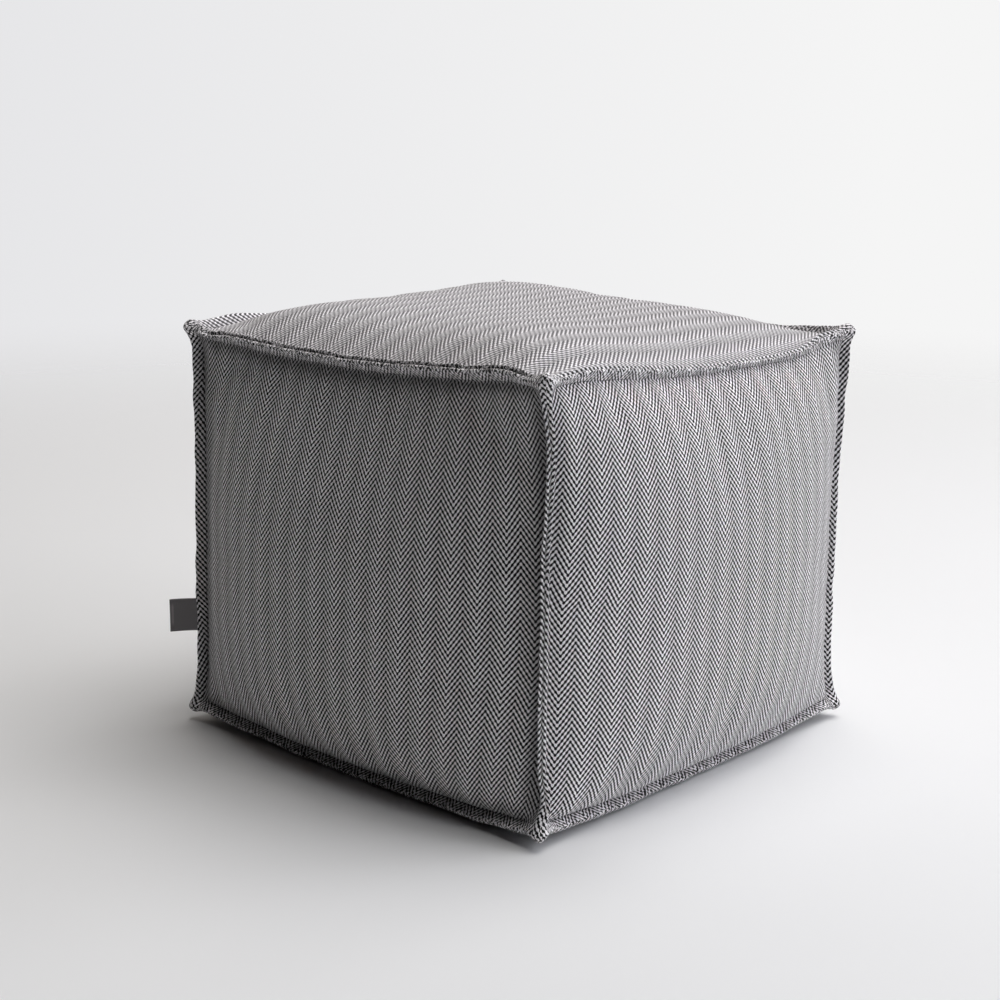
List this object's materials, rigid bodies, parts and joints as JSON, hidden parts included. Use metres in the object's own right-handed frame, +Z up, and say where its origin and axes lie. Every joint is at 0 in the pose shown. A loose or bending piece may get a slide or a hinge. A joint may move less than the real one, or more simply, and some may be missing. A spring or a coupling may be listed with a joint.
{
  "type": "cube pouf stool",
  "caption": "Soft cube pouf stool: a filled cover of woven herringbone panels with flanged, topstitched seams, eared corners, a crowned top and a folded ribbon tab in one side seam.",
  "frame": {"origin": "on the floor, below the middle of the box through the corner ears", "axes": "+Z up; +X and +Y square to the side panels; the ribbon tab is in the upright seam towards -X and -Y"},
  "size_m": [0.5477, 0.5355, 0.4482],
  "materials": {
    "cover_cloth": "matt black and off-white herringbone twill, heavy yarn",
    "tab_ribbon": "dark grey woven satin ribbon, slight sheen"
  },
  "bodies": {
    "root": {"Pouf_body": "cover_cloth", "Ribbon_tab": "tab_ribbon"}
  },
  "joints": []
}
